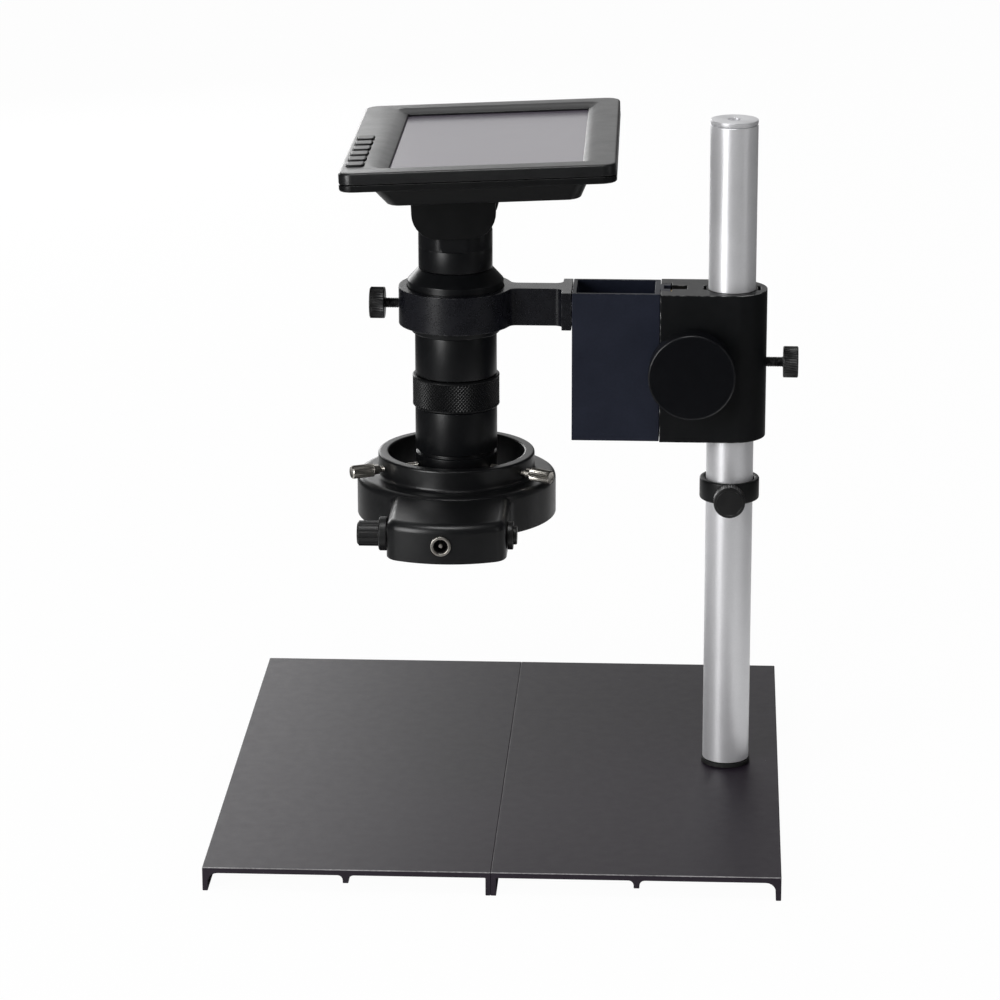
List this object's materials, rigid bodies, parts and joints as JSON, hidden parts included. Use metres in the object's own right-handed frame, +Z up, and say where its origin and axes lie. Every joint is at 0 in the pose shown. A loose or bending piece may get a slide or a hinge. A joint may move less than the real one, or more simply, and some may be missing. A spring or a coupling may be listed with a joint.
{
  "type": "digital microscope",
  "caption": "Digital microscope with a tilting screen over its lens, a ring light, and a rack-and-pinion focus slide on a pillar that stands on a ribbed flat base.",
  "frame": {"origin": "middle of the footprint, on the bench", "axes": "+Z up along the pillar; the pillar stands at +X, and the user sits on the -X side; +Y is to the user's left, away from the ring light's control box"},
  "size_m": [0.264, 0.285, 0.3222],
  "materials": {
    "base_aluminium": "dark grey satin anodised extrusion",
    "zinc_steel": "bright zinc-plated steel",
    "silver_aluminium": "silver satin anodised",
    "foot_rubber": "black",
    "black_aluminium": "black satin anodised",
    "black_screw": "black oxide, knurled heads",
    "focus_knob_black": "black satin anodised, turned faces",
    "zoom_ring_black": "black anodised, diamond knurl",
    "slider_aluminium": "blue-black anodised",
    "liner_nylon": "natural nylon",
    "rack_brass": "machined",
    "lens_glass": "coated optical glass",
    "circuit_board": "green solder mask",
    "led_board": "white solder mask with white LEDs",
    "screen_plastic": "black moulded plastic, fine texture",
    "lcd_face": "dark display face, low gloss",
    "button_plastic": "black moulded plastic",
    "light_plastic": "black moulded plastic, satin",
    "light_knob_plastic": "black ribbed plastic",
    "clear_cover": "clear moulded cover",
    "nickel": "nickel-plated brass"
  },
  "bodies": {
    "base": {"base_plate_left": "base_aluminium", "base_plate_right": "base_aluminium", "joining_bolt_1": "zinc_steel", "joining_bolt_2": "zinc_steel", "pillar_foot": "foot_rubber", "pillar": "silver_aluminium", "pillar_cap": "silver_aluminium", "pillar_bolt": "zinc_steel"},
    "collar": {"safety_collar": "black_aluminium"},
    "collar_screw": {"collar_screw": "black_screw"},
    "liner": {"bore_liner": "liner_nylon"},
    "block": {"column_block": "black_aluminium"},
    "clamp_screw": {"clamp_screw": "black_screw"},
    "pinion": {"pinion_shaft": "zinc_steel", "focus_knob_front": "focus_knob_black", "focus_knob_rear": "focus_knob_black"},
    "slider": {"slider_box": "slider_aluminium", "gear_rack": "rack_brass", "rack_screw_1": "zinc_steel", "rack_screw_2": "zinc_steel", "lens_arm": "black_aluminium", "arm_screw_1": "zinc_steel", "arm_screw_2": "zinc_steel"},
    "ring_screw": {"ring_screw": "black_screw"},
    "head": {"lens_adapter": "black_aluminium", "lens_barrel_upper": "black_aluminium", "lens_barrel_lower": "black_aluminium", "lens_core": "black_aluminium", "front_cell": "black_aluminium", "front_lens": "lens_glass", "zoom_lens": "lens_glass", "rear_lens": "lens_glass", "camera_tube": "black_aluminium", "camera_head": "black_aluminium", "sensor_board": "circuit_board", "hinge_pin": "zinc_steel"},
    "zoom_ring": {"zoom_ring": "zoom_ring_black"},
    "screen": {"tilt_bracket": "black_aluminium", "screen_front_frame": "screen_plastic", "screen_rear_shell": "screen_plastic", "lcd_panel": "lcd_face", "main_board": "circuit_board"},
    "button_1": {"button_1": "button_plastic"},
    "button_2": {"button_2": "button_plastic"},
    "button_3": {"button_3": "button_plastic"},
    "button_4": {"button_4": "button_plastic"},
    "button_5": {"button_5": "button_plastic"},
    "button_6": {"button_6": "button_plastic"},
    "ring_light": {"light_housing": "light_plastic", "control_box_cover": "light_plastic", "led_board": "led_board", "light_cover": "clear_cover", "control_board": "circuit_board", "dimmer_pot": "zinc_steel", "dc_jack": "nickel", "fuse_holder": "light_knob_plastic"},
    "dimmer": {"dimmer_knob": "light_knob_plastic"},
    "light_screw_1": {"light_screw_1": "nickel"},
    "light_screw_2": {"light_screw_2": "nickel"},
    "light_screw_3": {"light_screw_3": "nickel"}
  },
  "joints": [
    {"name": "collar_height", "type": "slide", "parent": "base", "child": "collar", "axis": [0, 0, 1], "range_m": [-0.12, 0]},
    {"name": "collar_screw_turn", "type": "hinge", "parent": "collar", "child": "collar_screw", "pos_m": [0.101, 0.0045, 0.1476], "axis": [0, -1, 0], "range_deg": [-180, 180]},
    {"name": "block_height", "type": "slide", "parent": "base", "child": "liner", "axis": [0, 0, 1], "range_m": [-0.02, 0.07]},
    {"name": "block_swivel", "type": "hinge", "parent": "liner", "child": "block", "pos_m": [0.101, 0.0045, 0.2082], "axis": [0, 0, 1], "range_deg": [-180, 180]},
    {"name": "clamp_screw_turn", "type": "hinge", "parent": "block", "child": "clamp_screw", "pos_m": [0.101, 0.0045, 0.2082], "axis": [1, 0, 0], "range_deg": [-180, 180]},
    {"name": "focus", "type": "slide", "parent": "block", "child": "slider", "axis": [0, 0, 1], "range_m": [-0.022, 0.022]},
    {"name": "pinion_turn", "type": "hinge", "parent": "block", "child": "pinion", "pos_m": [0.083, 0.0045, 0.2082], "axis": [0, 1, 0], "range_deg": [-362, 362]},
    {"name": "ring_screw_turn", "type": "hinge", "parent": "slider", "child": "ring_screw", "pos_m": [-0.0267, 0.0045, 0.2344], "axis": [-1, 0, 0], "range_deg": [-180, 180]},
    {"name": "head_turn", "type": "hinge", "parent": "slider", "child": "head", "pos_m": [-0.0267, 0.0045, 0.2344], "axis": [0, 0, 1], "range_deg": [-40, 40]},
    {"name": "zoom", "type": "hinge", "parent": "head", "child": "zoom_ring", "pos_m": [-0.0267, 0.0045, 0.1938], "axis": [0, 0, 1], "range_deg": [-60, 60]},
    {"name": "screen_tilt", "type": "hinge", "parent": "head", "child": "screen", "pos_m": [-0.0267, 0.0045, 0.2831], "axis": [0.0157, -0.9991, 0.0401], "range_deg": [-12, 57]},
    {"name": "button_1_press", "type": "slide", "parent": "screen", "child": "button_1", "axis": [0.0425, -0.0394, -0.9983], "range_m": [0, 0.0006], "stiffness_N_per_m": 400},
    {"name": "button_2_press", "type": "slide", "parent": "screen", "child": "button_2", "axis": [0.0425, -0.0394, -0.9983], "range_m": [0, 0.0006], "stiffness_N_per_m": 400},
    {"name": "button_3_press", "type": "slide", "parent": "screen", "child": "button_3", "axis": [0.0425, -0.0394, -0.9983], "range_m": [0, 0.0006], "stiffness_N_per_m": 400},
    {"name": "button_4_press", "type": "slide", "parent": "screen", "child": "button_4", "axis": [0.0425, -0.0394, -0.9983], "range_m": [0, 0.0006], "stiffness_N_per_m": 400},
    {"name": "button_5_press", "type": "slide", "parent": "screen", "child": "button_5", "axis": [0.0425, -0.0394, -0.9983], "range_m": [0, 0.0006], "stiffness_N_per_m": 400},
    {"name": "button_6_press", "type": "slide", "parent": "screen", "child": "button_6", "axis": [0.0425, -0.0394, -0.9983], "range_m": [0, 0.0006], "stiffness_N_per_m": 400},
    {"name": "light_turn", "type": "hinge", "parent": "head", "child": "ring_light", "pos_m": [-0.0267, 0.0045, 0.15], "axis": [0, 0, 1], "range_deg": [-180, 180]},
    {"name": "dimmer_turn", "type": "hinge", "parent": "ring_light", "child": "dimmer", "pos_m": [-0.0617, -0.0627, 0.1434], "axis": [-1, 0, 0], "range_deg": [0, 270]},
    {"name": "light_screw_1_turn", "type": "hinge", "parent": "ring_light", "child": "light_screw_1", "pos_m": [-0.0267, 0.0045, 0.1586], "axis": [0, 1, 0], "range_deg": [-180, 180]},
    {"name": "light_screw_2_turn", "type": "hinge", "parent": "ring_light", "child": "light_screw_2", "pos_m": [-0.0267, 0.0045, 0.1586], "axis": [-0.9063, -0.4226, 0], "range_deg": [-180, 180]},
    {"name": "light_screw_3_turn", "type": "hinge", "parent": "ring_light", "child": "light_screw_3", "pos_m": [-0.0267, 0.0045, 0.1586], "axis": [0.866, -0.5, 0], "range_deg": [-180, 180]}
  ],
  "couplings": [
    {"joint": "pinion_turn", "follows": "focus", "rad_per_m": 285.71}
  ]
}
